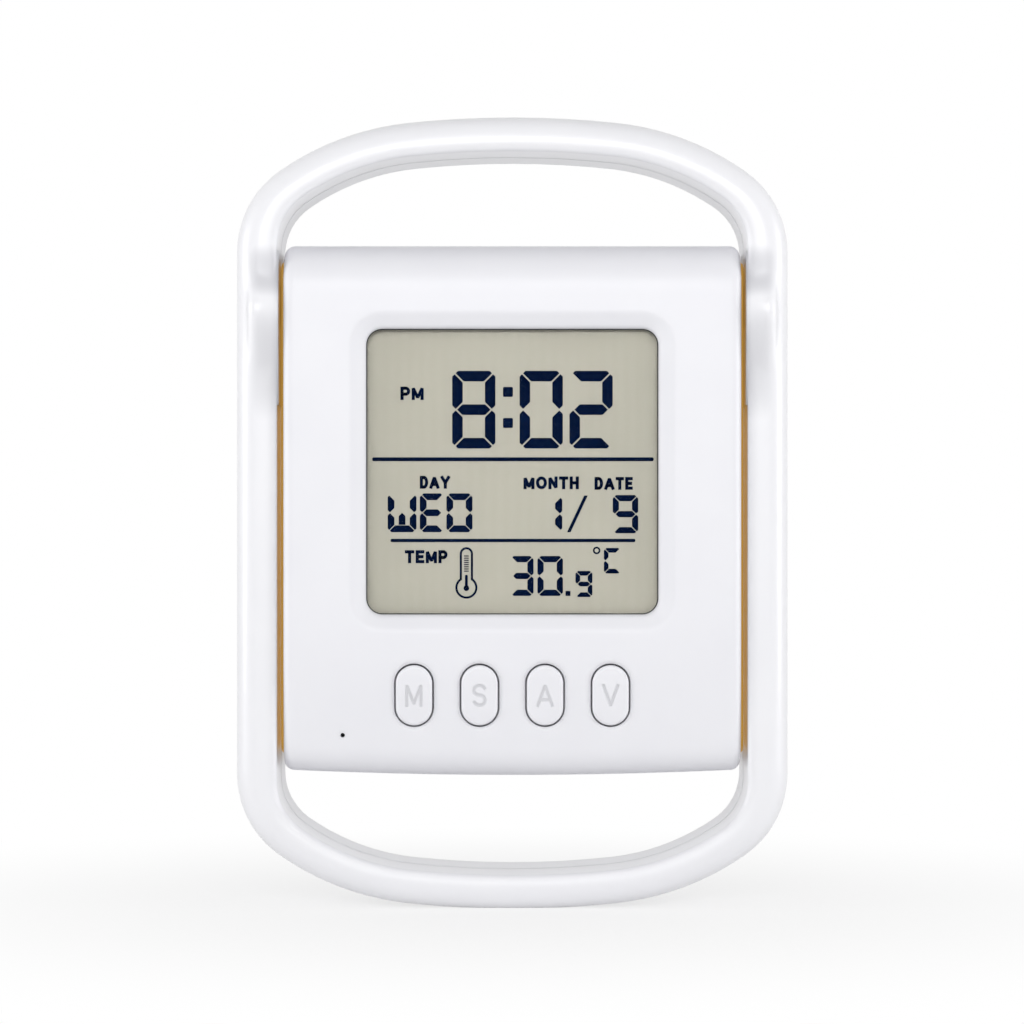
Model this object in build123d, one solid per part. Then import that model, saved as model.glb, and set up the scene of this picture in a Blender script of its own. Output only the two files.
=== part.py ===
from build123d import *
import os
from math import cos, radians, sin, sqrt

# A table clock: a display body that swings on two friction pivots inside a moulded hoop.
# Millimetres. X points to the viewer's right, the face looks along -Y and Z is up.
# The origin lies on the foot, under the middle of the hoop, and the pivots lie at y = 0.

# Clearances that all pieces share
cut_overrun = 3.0
seat_gap = 0.03
turning_gap = 0.05
moving_gap = 0.3

# Display window in the face
window_width = 52.6
window_height = 51.4
window_corner = 2.9
bevel_width = 2.8
bevel_depth = 1.3
lip_thickness = 0.6

# Layout of the face around the window
side_margin = 14.9
top_margin = 15.3
button_drop = 14.5
bottom_margin = 14.7

# Body form
front_depth = 14.0
rear_depth = 13.5
chin_rise = 28.0
chin_setback = 1.8
top_round = 8.0
bottom_round = 5.0
bottom_bow = 1.0
flank_round = 1.8
face_wall = 2.2
flank_wall = 3.4
seam_chamfer = 0.25

# Hoop around the body
rail_gap = 1.2
upper_gap = 16.8
lower_gap = 17.8
side_thickness = 7.4
arch_thickness = 6.3
hoop_depth = 26.0
bow_radius = 180.0
bow_angle = 6.0
shoulder_angle = 35.0
corner_radius = 18.0
outer_edge_radius = 4.2
rail_crown = 0.7
inner_edge_radius = 0.8
foot_width = 20.0

# Pivot hubs on the hoop's rails
pivot_drop = 10.7
hub_reach_up = 9.5
hub_reach_down = 18.3
hub_crest_drop = 1.0
hub_width = 5.2
hub_proud = 0.3
hub_rise_outer = 2.4
hub_rise_inner = 0.7
hub_root_depth = 1.0
hub_crest_radius = 7.0
hub_edge_radius = 1.6

# Pivot pins, bushes and friction collars
pin_radius = 1.5
pin_head_radius = 3.0
pin_head_length = 1.8
pin_end_gap = 0.4
bush_radius = 3.0
bush_length = 4.6
bush_chamfer = 0.3
collar_radius = 4.0
collar_face_gap = 0.1
yoke_size = 10.0
yoke_wall = 1.2

# Amber cheeks in the body's flanks
cheek_width = 20.0
cheek_end_margin = 3.0
cheek_corner = 3.0
cheek_pocket_depth = 1.4
cheek_proud = 0.55
cheek_chamfer = 0.3

# Lens, glass and its holder
lens_overlap = 1.9
lens_thickness = 1.2
lens_corner = 2.0
lcd_overlap = 0.7
lcd_gap = 0.3
lcd_plate_thickness = 1.0
lcd_ledge = 3.6
holder_wall = 1.8
holder_lip = 2.0
holder_corner = 2.0
zebra_height = 2.2
zebra_end_gap = 2.0

# Circuit board and what it carries
lcd_to_board = 3.1
board_thickness = 1.2
board_edge_gap = 3.2
board_top_gap = 7.2
wing_reach = 3.5
wing_clear = 3.8
wing_height = 12.0
board_boss_radius = 2.2
board_boss_gap = 1.3
chip_radius = 7.0
chip_height = 1.6
chip_round = 1.2
crystal_radius = 1.0
crystal_length = 6.0
crystal_shift = 14.0
sensor_radius = 0.9
sensor_wall_gap = 0.35
sensor_lead_radius = 0.25
sensor_lead_pitch = 1.0

# Buttons and their switches
button_count = 4
button_pitch = 11.77
button_hole_width = 7.15
button_hole_length = 11.45
button_hole_flare = 0.3
button_proud = 0.35
button_round = 0.6
button_travel = 0.7
button_stop_gap = 0.2
button_flange = 0.9
button_flange_thickness = 1.0
button_flange_gap = 0.2
switch_size = 6.0
switch_plunger_radius = 1.6
switch_plunger_height = 0.8

# Sensor port at the lower left of the face
port_radius = 0.4
port_boss_gap = 2.67
port_rise = 7.5

# Battery tray, cells and contacts
cell_radius = 5.2
cell_length = 43.6
cell_chamfer = 0.5
nub_radius = 1.9
nub_length = 0.9
cell_gap = 0.2
cell_pitch_gap = 0.6
tray_rise = 26.2
tray_wall = 1.6
tray_floor = 1.4
contact_thickness = 0.4
contact_rise = 1.5
contact_width = 7.0
contact_dimple_radius = 2.4
contact_dimple_taper = 25.0
contact_foot = 0.6

# Battery door at the rear
door_thickness = 1.6
door_overlap = 2.1
door_trunnion_radius = 0.45
door_trunnion_length = 1.3
door_ledge_gap = 0.3
door_flange_depth = 1.6
door_tongue_width = 12.0
door_tongue_length = 2.2
door_tongue_thickness = 1.1
door_notch_room = 1.2
door_rib_count = 3
door_rib_pitch = 1.6
door_rib_width = 0.7
door_rib_height = 0.35

# Buzzer and the holes in front of it
buzzer_drop = 31.7
buzzer_radius = 9.0
buzzer_height = 3.6
buzzer_rim = 1.2
buzzer_rim_height = 1.2
sound_hole_radius = 0.8
sound_hole_ring = 4.2
sound_hole_count = 6

# Screws
case_screw_inset = 8.2
case_screw_drop = 19.7
case_screw_rise = 20.2
case_boss_radius = 3.0
case_screw_radius = 1.1
case_head_radius = 1.9
case_head_height = 1.5
case_well_depth = 4.0
case_screw_bite = 7.0
hoop_screw_radius = 1.0
hoop_head_radius = 1.7
hoop_head_height = 1.3
hoop_well_depth = 3.2
hoop_screw_bite = 7.0
board_screw_radius = 0.9
board_head_radius = 1.7
board_head_height = 1.2
board_screw_bite = 4.0
blind_hole_gap = 0.5
head_chamfer_share = 0.28
driver_slot_share = 0.28
driver_reach_share = 0.62
driver_depth_share = 0.5

# Widths and heights worked out from the sizes above
body_half = window_width / 2 + side_margin
body_height = top_margin + window_height + button_drop + bottom_margin
chin_radius = (chin_rise**2 + chin_setback**2) / (2 * chin_setback)
rail_half = body_half + rail_gap
hoop_half = rail_half + side_thickness
foot_trim = bow_radius - sqrt(bow_radius**2 - (foot_width / 2) ** 2)
opening_base = arch_thickness - foot_trim
body_base = opening_base + lower_gap
body_top = body_base + body_height
opening_top = body_top + upper_gap
hoop_top = opening_top + arch_thickness
window_z = body_top - top_margin - window_height / 2
button_z = window_z - window_height / 2 - button_drop
pivot_z = body_top - pivot_drop
hub_face = rail_half - hub_proud
flank_inner = body_half - flank_wall
cheek_face = body_half + cheek_proud
cheek_floor = body_half - cheek_pocket_depth

# Depths worked out from the face and from the rear
lens_front = -front_depth + bevel_depth + lip_thickness
lens_back = lens_front + lens_thickness
lcd_front = lens_back + lcd_gap
lcd_back = lcd_front + 2 * lcd_plate_thickness
board_front = lcd_back + lcd_to_board
board_back = board_front + board_thickness
rear_inner = rear_depth - face_wall
door_inner = rear_depth - door_thickness
ledge_depth = door_inner - door_ledge_gap
cell_y = ledge_depth - cell_gap - cell_radius
tray_floor_y = cell_y - cell_radius - cell_gap

# Battery tray worked out from the cells
tray_z = body_base + tray_rise
cell_offset = cell_radius + cell_pitch_gap / 2
tray_half_height = 2 * cell_radius + cell_pitch_gap / 2 + cell_gap
cell_half = (cell_length + nub_length) / 2
contact_face = cell_half + contact_rise + seat_gap
tray_half_width = contact_face + contact_thickness + seat_gap
door_half = tray_half_width + door_overlap
door_half_height = tray_half_height + door_overlap
door_base = tray_z - door_half_height
door_top = tray_z + door_half_height
door_axis_y = rear_depth - door_thickness / 2
door_axis_z = door_base + door_thickness / 2


def slab(sketch, front, back):
    """A sketch drawn in front view, extruded between two depths."""
    return extrude(Plane.XZ.offset(-back) * sketch, back - front)


def rod(radius, x, z, front, back):
    """A round rod along the depth."""
    return slab(Pos(x, z) * Circle(radius), front, back)


def cross_rod(radius, start, end, y, z):
    """A round rod along the width."""
    return extrude(Plane.YZ.offset(start) * Pos(y, z) * Circle(radius), end - start)


def upright_slot(width, length):
    """The outline of an upright oval with straight sides."""
    return SlotOverall(length, width, rotation=90)


def both_sides(piece):
    """A right-hand piece and its mirror image on the left."""
    return piece, mirror(piece, about=Plane.YZ)


def chin_depth(z):
    """How far the face is set back at a height: nothing at the window, more and more down the chin."""
    drop = max(0, body_base + chin_rise - z)
    return chin_radius - sqrt(chin_radius**2 - drop**2)


def face_depth(z):
    """Depth of the face at a height."""
    return -front_depth + chin_depth(z)


def face_plane(z):
    """The plane that touches the chin at a height, looking outwards."""
    lean = (body_base + chin_rise - z) / chin_radius
    outwards = (0, -sqrt(1 - lean**2), -lean)
    return Plane(origin=(0, face_depth(z), z), x_dir=(1, 0, 0), z_dir=outwards)


def screw(head_radius, head_height, shank_radius, length):
    """A pan-head screw along +Z with its shank below the origin and a cross slot in the head."""
    head = extrude(Circle(head_radius), head_height)
    head = chamfer(head.edges().sort_by(Axis.Z)[-1], head_height * head_chamfer_share)
    slot_long = 2 * head_radius * driver_reach_share
    slot_wide = head_radius * driver_slot_share
    slot_deep = head_height * driver_depth_share
    cross = Rectangle(slot_long, slot_wide) + Rectangle(slot_wide, slot_long)
    head -= extrude(Pos(0, 0, head_height - slot_deep) * cross, slot_deep + cut_overrun)
    shank = extrude(Circle(shank_radius), -length)
    return head + shank


def rear_screws(places, seat, *sizes):
    """Screws driven from the rear at (x, z) places, with their heads seated at one depth."""
    rear_facing = Plane.XZ.offset(-seat).rotated((180, 0, 0))
    shape = screw(*sizes)
    return [rear_facing * Pos(x, -z) * shape for x, z in places]


# Hoop


def quarter_arcs(half_width, crown, bow, corner):
    """Bow, shoulder and corner of the upper right quarter, as three points (x, z) on each arc."""
    bow_end = radians(bow_angle)
    shoulder_end = radians(shoulder_angle)
    reach = half_width - bow * sin(bow_end) - corner * (1 - sin(shoulder_end))
    shoulder = reach / (sin(shoulder_end) - sin(bow_end))
    spans = ((bow, 0, bow_end), (shoulder, bow_end, shoulder_end), (corner, shoulder_end, radians(90)))
    x, z, last_radius = 0, crown - bow, bow
    arcs = []
    for radius, start, end in spans:
        x += (last_radius - radius) * sin(start)
        z += (last_radius - radius) * cos(start)
        last_radius = radius
        angles = (start, (start + end) / 2, end)
        arcs.append([(x + radius * sin(angle), z + radius * cos(angle)) for angle in angles])
    return arcs


def half_outline(half_width, crown, base, bow, corner):
    """The right half of a hoop outline, from the middle of the top to the middle of the bottom."""
    upper = quarter_arcs(half_width, crown, bow, corner)
    lower = [[(x, crown + base - z) for x, z in reversed(arc)] for arc in reversed(upper)]
    edges = [ThreePointArc(*[(x, 0, z) for x, z in arc]) for arc in upper]
    top_x, top_z = upper[-1][-1]
    low_x, low_z = lower[0][0]
    edges.append(Line((top_x, 0, top_z), (low_x, 0, low_z)))
    edges += [ThreePointArc(*[(x, 0, z) for x, z in arc]) for arc in lower]
    return edges


def rail_section():
    """Front half of the hoop's section at the crown: flat rim, rounded edge and crowned face."""
    half = hoop_depth / 2
    flat_end = half - outer_edge_radius
    diagonal = outer_edge_radius * sqrt(0.5)
    reach = side_thickness + outer_edge_radius
    edge_z = hoop_top - outer_edge_radius
    inner_z = hoop_top - reach
    middle_z = (edge_z + inner_z) / 2
    rounded = (0, -flat_end - diagonal, edge_z + diagonal)
    crowned = (0, -half + rail_crown / 4, middle_z)
    return make_face(
        [
            Line((0, 0, hoop_top), (0, -flat_end, hoop_top)),
            ThreePointArc((0, -flat_end, hoop_top), rounded, (0, -half, edge_z)),
            ThreePointArc((0, -half, edge_z), crowned, (0, rail_crown - half, inner_z)),
            Line((0, rail_crown - half, inner_z), (0, 0, inner_z)),
            Line((0, 0, inner_z), (0, 0, hoop_top)),
        ]
    )


def hoop_opening():
    """The opening of the hoop as a prism through its whole depth."""
    bow = bow_radius - arch_thickness
    corner = corner_radius - side_thickness
    right = half_outline(rail_half, opening_top, opening_base, bow, corner)
    left = [mirror(edge, about=Plane.YZ) for edge in right]
    return extrude(make_face(right + left), hoop_depth, both=True)


def hub_profile(x, rise):
    """Side view of a hub at one width: a long lower ramp, a rounded crest and a short upper slope."""
    half = hoop_depth / 2
    root = half - hub_root_depth
    low = pivot_z - hub_reach_down
    high = pivot_z + hub_reach_up
    crest = pivot_z - hub_crest_drop
    outline = Polygon(
        (0, low), (-root, low), (-half - rise, crest), (-root, high), (0, high), align=None
    )
    tip = outline.vertices().sort_by(Axis.X)[0]
    return Plane.YZ.offset(x) * fillet(tip, hub_crest_radius)


def pivot_hub():
    """Front half of the right-hand hub, sloping inwards, with a soft outer edge."""
    outer_x = rail_half + hub_width
    hub = loft([hub_profile(hub_face, hub_rise_inner), hub_profile(outer_x, hub_rise_outer)], ruled=True)
    outer_face = hub.faces().sort_by(Axis.X)[-1]
    root = hoop_depth / 2 - hub_root_depth
    crest_edges = outer_face.edges().filter_by(lambda edge: edge.center().Y < -root)
    return fillet(crest_edges, hub_edge_radius)


def hoop_half_ring():
    """Front half of the hoop with its hubs, foot and bearing seats."""
    path = Wire(half_outline(hoop_half, hoop_top, -foot_trim, bow_radius, corner_radius))
    right = sweep(rail_section(), path=path)
    ring = right + mirror(right, about=Plane.YZ)
    seam = ring.faces().filter_by(Plane.XZ).sort_by(lambda face: abs(face.center().Y))[0]
    ring = chamfer(seam.outer_wire().edges(), seam_chamfer)
    ring -= hoop_opening()
    lowest, highest = -hoop_depth / 2, -hoop_depth / 2 + rail_crown
    inner_edges = ring.edges().filter_by(lambda edge: lowest + seat_gap < edge.center().Y < highest)
    ring = fillet(inner_edges, inner_edge_radius)
    for hub in both_sides(pivot_hub()):
        ring += hub
    for seat in both_sides(bush_seat()):
        ring -= seat
    below = Rectangle(2 * hoop_half, cut_overrun, align=(Align.CENTER, Align.MAX))
    return ring - slab(below, -hoop_depth, hoop_depth)


def bush_seat():
    """Room for the right-hand bush in the rail."""
    start = hub_face - cut_overrun
    end = hub_face + bush_length + seat_gap
    return cross_rod(bush_radius + seat_gap, start, end, 0, pivot_z)


def hoop_screw_places():
    """Screw places in the middle of the band at its four corners."""
    corner_x = hoop_half - corner_radius
    corner_z = quarter_arcs(hoop_half, hoop_top, bow_radius, corner_radius)[-1][-1][1]
    reach = (corner_radius - side_thickness / 2) * sqrt(0.5)
    drop = hoop_top - foot_trim
    upper = [(side * (corner_x + reach), corner_z + reach) for side in (-1, 1)]
    return upper + [(x, drop - z) for x, z in upper]


def build_hoop():
    """Both hoop halves, the bushes between them and the screws that close them."""
    half_ring = hoop_half_ring()
    front = half_ring
    rear = mirror(half_ring, about=Plane.XZ)
    seat = hoop_depth / 2 - hoop_well_depth
    for x, z in hoop_screw_places():
        front -= rod(hoop_screw_radius + seat_gap, x, z, -hoop_screw_bite - blind_hole_gap, cut_overrun)
        rear -= rod(hoop_screw_radius + seat_gap, x, z, -cut_overrun, hoop_depth)
        rear -= rod(hoop_head_radius + seat_gap, x, z, seat, hoop_depth)
    bore = cross_rod(pin_radius + turning_gap, hub_face, hub_face + bush_length, 0, pivot_z)
    bush = cross_rod(bush_radius, hub_face, hub_face + bush_length, 0, pivot_z) - bore
    bush = chamfer(bush.faces().sort_by(Axis.X)[0].edges(), bush_chamfer)
    bush_right, bush_left = both_sides(bush)
    sizes = (hoop_head_radius, hoop_head_height, hoop_screw_radius, seat + hoop_screw_bite)
    return {
        "hoop_front": front,
        "hoop_rear": rear,
        "hub_bush_left": bush_left,
        "hub_bush_right": bush_right,
        "hoop_screws": rear_screws(hoop_screw_places(), seat, *sizes),
    }


# Body shells


def body_form(wall, side_wall):
    """The body's rounded form, set in by a wall all round and by another at the flanks."""
    half = body_half - side_wall
    top = body_top - wall
    base = body_base + wall
    front = -front_depth + wall
    rear = rear_depth - wall
    bend = body_base + chin_rise
    chin = [(front + chin_depth(z), z) for z in (bend, (bend + base) / 2, base)]
    side_view = make_face(
        [
            Line((front, top), chin[0]),
            ThreePointArc(*chin),
            Line(chin[-1], (rear, base)),
            Line((rear, base), (rear, top)),
            Line((rear, top), (front, top)),
        ]
    )
    front_view = make_face(
        [
            ThreePointArc((-half, base + bottom_bow), (0, base), (half, base + bottom_bow)),
            Line((half, base + bottom_bow), (half, top)),
            Line((half, top), (-half, top)),
            Line((-half, top), (-half, base + bottom_bow)),
        ]
    )
    form = extrude(Plane.YZ * side_view, half, both=True)
    form &= slab(front_view, front - cut_overrun, rear + cut_overrun)
    middle = (base + top) / 2
    running = form.edges().filter_by(lambda edge: edge.bounding_box().size.X > half)
    form = fillet(running.filter_by(lambda edge: edge.center().Z > middle), top_round - wall)
    running = form.edges().filter_by(lambda edge: edge.bounding_box().size.X > half)
    corner = base + bottom_bow + seat_gap
    form = fillet(running.filter_by(lambda edge: edge.center().Z < corner), bottom_round - wall)
    return form


def body_outside():
    """The outside of the body, with rounded flank edges."""
    form = body_form(0, 0)
    for side in (0, -1):
        form = fillet(form.faces().sort_by(Axis.X)[side].edges(), flank_round)
    return form


def half_shell(keep):
    """One half of the hollow body, cut at the pivot plane, with a chamfered seam and its flank pockets."""
    shell = split(body_outside(), bisect_by=Plane.XZ, keep=keep)
    seam = shell.faces().filter_by(Plane.XZ).sort_by(lambda face: abs(face.center().Y))[0]
    shell = chamfer(seam.edges(), seam_chamfer)
    shell -= body_form(face_wall, flank_wall)
    half_yoke = split(pin_yoke(), bisect_by=Plane.XZ, keep=keep)
    for yoke in both_sides(half_yoke):
        shell += yoke
    for cut in both_sides(pivot_bore()):
        shell -= cut
    for pocket in both_sides(cheek_blank(seat_gap, cheek_floor, body_half + cut_overrun)):
        shell -= pocket
    return shell


def pin_yoke():
    """A block inside the right flank that holds the pivot pin's head."""
    inner = flank_inner - pin_head_length - yoke_wall
    outline = Pos(0, pivot_z) * Rectangle(yoke_size, yoke_size)
    return extrude(Plane.YZ.offset(inner) * outline, flank_inner - inner + seat_gap)


def pivot_bore():
    """Room for the right-hand pin and its head."""
    head_start = flank_inner - pin_head_length - seat_gap
    head = cross_rod(pin_head_radius + seat_gap, head_start, flank_inner + seat_gap, 0, pivot_z)
    return head + cross_rod(pin_radius + seat_gap, flank_inner, body_half + cut_overrun, 0, pivot_z)


def cheek_blank(gap, inner, outer):
    """The right-hand cheek's outline with a gap around it, between two widths."""
    low = body_base + bottom_bow + cheek_end_margin
    high = body_top - cheek_end_margin
    outline = RectangleRounded(cheek_width + 2 * gap, high - low + 2 * gap, cheek_corner + gap)
    return extrude(Plane.YZ.offset(inner) * Pos(0, (low + high) / 2) * outline, outer - inner)


def side_cheek():
    """The right-hand amber cheek with its hole for the friction collar."""
    cheek = cheek_blank(0, cheek_floor + seat_gap, cheek_face)
    cheek = chamfer(cheek.faces().sort_by(Axis.X)[-1].edges(), cheek_chamfer)
    return cheek - cross_rod(collar_radius + seat_gap, flank_inner, rail_half, 0, pivot_z)


def case_screw_places():
    """Screw places near the body's four corners."""
    x = body_half - case_screw_inset
    heights = (body_base + case_screw_rise, body_top - case_screw_drop)
    return [(side * x, z) for side in (-1, 1) for z in heights]


def low_boss_x():
    """Distance of the lower board bosses from the middle: just outside the row of buttons."""
    row_half = (button_count - 1) / 2 * button_pitch + button_hole_width / 2
    return row_half + button_flange + board_boss_radius + board_boss_gap


def port_x():
    """Distance of the sensor port from the middle: outside the lower board boss."""
    return low_boss_x() + board_boss_radius + port_boss_gap


def board_screw_places():
    """Screw places of the board: two beside the buttons and two above the display holder."""
    low_x = low_boss_x()
    high_x = window_width / 2 - board_boss_radius * 2
    high_z = window_z + holder_half_height() + board_boss_radius + seat_gap
    low_z = body_base + board_edge_gap + wing_height / 2
    return [(-low_x, low_z), (low_x, low_z), (-high_x, high_z), (high_x, high_z)]


def button_places():
    """Widths at which the buttons stand, from left to right."""
    return [(index - (button_count - 1) / 2) * button_pitch for index in range(button_count)]


def window_bevel():
    """The bevelled recess of the window, opening towards the viewer."""
    lip_front = lens_front - lip_thickness
    slope = bevel_width / bevel_depth
    sections = []
    for depth in (0, bevel_depth + cut_overrun):
        grow = depth * slope
        outline = RectangleRounded(
            window_width + 2 * grow, window_height + 2 * grow, window_corner + grow
        )
        sections.append(Plane.XZ.offset(depth - lip_front) * Pos(0, window_z) * outline)
    return loft(sections, ruled=True)


def front_shell():
    """The face: window, lens seat, button holes, sensor port and bosses."""
    shell = half_shell(Keep.TOP)
    cavity = body_form(face_wall, flank_wall)
    posts = [rod(case_boss_radius, x, z, -front_depth, 0) for x, z in case_screw_places()]
    posts += [rod(board_boss_radius, x, z, -front_depth, board_front) for x, z in board_screw_places()]
    for post in posts:
        shell += post & cavity
    for x, z in case_screw_places():
        shell -= rod(case_screw_radius + seat_gap, x, z, -case_screw_bite - blind_hole_gap, cut_overrun)
    for x, z in board_screw_places():
        hole_end = board_front - board_screw_bite - blind_hole_gap
        shell -= rod(board_screw_radius + seat_gap, x, z, hole_end, 0)
    lens_room = RectangleRounded(
        window_width + 2 * (lens_overlap + seat_gap),
        window_height + 2 * (lens_overlap + seat_gap),
        lens_corner + seat_gap,
    )
    shell -= slab(Pos(0, window_z) * lens_room, lens_front, board_front)
    shell -= slab(
        Pos(0, window_z) * RectangleRounded(window_width, window_height, window_corner),
        -front_depth - cut_overrun,
        board_front,
    )
    shell -= window_bevel()
    for x in button_places():
        shell -= Pos(x, 0, 0) * button_hole()
    shell -= rod(port_radius, -port_x(), body_base + port_rise, -front_depth - cut_overrun, board_front)
    return shell


def button_hole():
    """A button's hole through the face, flared at its outer rim."""
    outline = Pos(0, button_z) * upright_slot(button_hole_width, button_hole_length)
    hole = slab(outline, -front_depth - cut_overrun, board_front)
    sections = []
    for rise in (-2 * button_hole_flare, button_hole_flare):
        grow = 2 * (rise + button_hole_flare)
        flared = upright_slot(button_hole_width + grow, button_hole_length + grow)
        sections.append(face_plane(button_z).offset(rise) * flared)
    return hole + loft(sections, ruled=True)


def rear_cover():
    """The back: battery tray, door recess, sound holes and screw wells."""
    cover = half_shell(Keep.BOTTOM)
    cavity = body_form(face_wall, flank_wall)
    for x, z in case_screw_places():
        cover += rod(case_boss_radius, x, z, 0, rear_depth) & cavity
    tray_outer = Rectangle(2 * (tray_half_width + tray_wall), 2 * (tray_half_height + tray_wall))
    cover += slab(Pos(0, tray_z) * tray_outer, tray_floor_y - tray_floor, ledge_depth)
    flange_half = door_half + moving_gap + tray_wall
    flange_low = door_base - moving_gap - tray_wall
    flange_high = door_top + door_tongue_length + moving_gap + door_notch_room + tray_wall
    flange = Pos(0, (flange_low + flange_high) / 2) * Rectangle(2 * flange_half, flange_high - flange_low)
    cover += slab(flange, ledge_depth - door_flange_depth, rear_inner + seat_gap)
    tray_inner = Rectangle(2 * tray_half_width, 2 * tray_half_height)
    cover -= slab(Pos(0, tray_z) * tray_inner, tray_floor_y, rear_depth + cut_overrun)
    recess = Rectangle(2 * (door_half + moving_gap), 2 * (door_half_height + moving_gap))
    cover -= slab(Pos(0, tray_z) * recess, ledge_depth, rear_depth + cut_overrun)
    notch_length = door_tongue_length + moving_gap + door_notch_room
    notch = Rectangle(door_tongue_width + 2 * moving_gap, 2 * notch_length)
    cover -= slab(Pos(0, door_top) * notch, ledge_depth, rear_depth + cut_overrun)
    trunnion_half = door_half + moving_gap + door_trunnion_length
    cover -= cross_rod(
        door_trunnion_radius + turning_gap, -trunnion_half, trunnion_half, door_axis_y, door_axis_z
    )
    seat = rear_depth - case_well_depth
    for x, z in case_screw_places():
        cover -= rod(case_screw_radius + seat_gap, x, z, -cut_overrun, rear_depth)
        cover -= rod(case_head_radius + seat_gap, x, z, seat, rear_depth + cut_overrun)
    holes = [(0, 0)] + [
        (sound_hole_ring * cos(radians(360 * step / sound_hole_count)),
         sound_hole_ring * sin(radians(360 * step / sound_hole_count)))
        for step in range(sound_hole_count)
    ]
    for x, z in holes:
        height = body_top - buzzer_drop + z
        cover -= rod(sound_hole_radius, x, height, rear_inner - cut_overrun, rear_depth + cut_overrun)
    return cover


def build_body():
    """The shells, the cheeks, the pivots and the screws that close the body."""
    cheek_right, cheek_left = both_sides(side_cheek())
    head_start = flank_inner - pin_head_length
    pin = cross_rod(pin_head_radius, head_start, flank_inner, 0, pivot_z)
    pin += cross_rod(pin_radius, flank_inner, hub_face + bush_length - pin_end_gap, 0, pivot_z)
    pin_right, pin_left = both_sides(pin)
    collar_start = cheek_floor + seat_gap
    collar_end = hub_face - collar_face_gap
    collar = cross_rod(collar_radius, collar_start, collar_end, 0, pivot_z)
    collar -= cross_rod(pin_radius + seat_gap, collar_start, collar_end, 0, pivot_z)
    collar_right, collar_left = both_sides(collar)
    seat = rear_depth - case_well_depth
    sizes = (case_head_radius, case_head_height, case_screw_radius, seat + case_screw_bite)
    return {
        "front_shell": front_shell(),
        "rear_cover": rear_cover(),
        "side_cheek_left": cheek_left,
        "side_cheek_right": cheek_right,
        "pivot_pin_left": pin_left,
        "pivot_pin_right": pin_right,
        "friction_collar_left": collar_left,
        "friction_collar_right": collar_right,
        "case_screws": rear_screws(case_screw_places(), seat, *sizes),
    }


# Display and electronics


def holder_half_width():
    """Half the outer width of the display holder."""
    return window_width / 2 + lcd_overlap + seat_gap + holder_wall


def holder_half_height():
    """Half the outer height of the display holder."""
    return window_height / 2 + lcd_overlap + seat_gap + holder_wall


def build_display():
    """Lens, glass, holder and rubber connector."""
    centre = Pos(0, window_z)
    lens_outline = RectangleRounded(
        window_width + 2 * lens_overlap, window_height + 2 * lens_overlap, lens_corner
    )
    lcd_width = window_width + 2 * lcd_overlap
    lcd_height = window_height + 2 * lcd_overlap
    front_plate = Rectangle(lcd_width, lcd_height)
    rear_plate = Pos(0, lcd_ledge / 2) * Rectangle(lcd_width, lcd_height - lcd_ledge)
    plate_joint = lcd_front + lcd_plate_thickness
    glass = slab(centre * front_plate, lcd_front, plate_joint)
    glass += slab(centre * rear_plate, plate_joint, lcd_back)
    holder_outline = RectangleRounded(2 * holder_half_width(), 2 * holder_half_height(), holder_corner)
    holder = slab(centre * holder_outline, lcd_front, board_front)
    pocket = Rectangle(lcd_width + 2 * seat_gap, lcd_height + 2 * seat_gap)
    holder -= slab(centre * pocket, lcd_front - cut_overrun, lcd_back + seat_gap)
    well = Rectangle(lcd_width - 2 * holder_lip, lcd_height - 2 * holder_lip)
    holder -= slab(centre * well, lcd_front, board_front + cut_overrun)
    zebra_z = window_z - lcd_height / 2 + zebra_height / 2 + seat_gap
    zebra_width = lcd_width - 2 * zebra_end_gap
    strip = Pos(0, zebra_z) * Rectangle(zebra_width, zebra_height)
    strip_room = Pos(0, zebra_z) * Rectangle(zebra_width + 2 * seat_gap, zebra_height + 2 * seat_gap)
    holder -= slab(strip_room, plate_joint, board_front + cut_overrun)
    return {
        "display_lens": slab(centre * lens_outline, lens_front, lens_back),
        "lcd_panel": glass,
        "lcd_holder": holder,
        "zebra_strip": slab(strip, plate_joint, board_front),
    }


def circuit_board():
    """The board: a main panel behind the display and wings beside the buttons."""
    low = body_base + bottom_bow + board_edge_gap
    high = body_top - board_top_gap
    main = Pos(0, (low + high) / 2) * Rectangle(2 * holder_half_width(), high - low)
    room = body_half - flank_wall - port_x()
    wing_half = port_x() + room * wing_reach / (wing_reach + wing_clear)
    wings = Pos(0, low + wing_height / 2) * Rectangle(2 * wing_half, wing_height)
    board = slab(main + wings, board_front, board_back)
    for x, z in board_screw_places():
        board -= rod(board_screw_radius + seat_gap, x, z, board_front - cut_overrun, board_back + cut_overrun)
    return board


def temperature_sensor():
    """A bead on two leads, standing on the board behind the port."""
    x = -port_x()
    z = body_base + port_rise
    bead_y = face_depth(z) + face_wall + sensor_wall_gap + sensor_radius
    sensor = Pos(x, bead_y, z) * Sphere(sensor_radius)
    for side in (-1, 1):
        lead_x = x + side * sensor_lead_pitch / 2
        sensor += rod(sensor_lead_radius, lead_x, z, bead_y, board_front)
    return sensor


def tact_switches(plunger_front):
    """One push switch on the board behind each button."""
    body_front = plunger_front + switch_plunger_height
    switches = []
    for x in button_places():
        body = slab(Pos(x, button_z) * Rectangle(switch_size, switch_size), body_front, board_front)
        plunger = rod(switch_plunger_radius, x, button_z, plunger_front, body_front)
        switches.append(body + plunger)
    return switches


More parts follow.
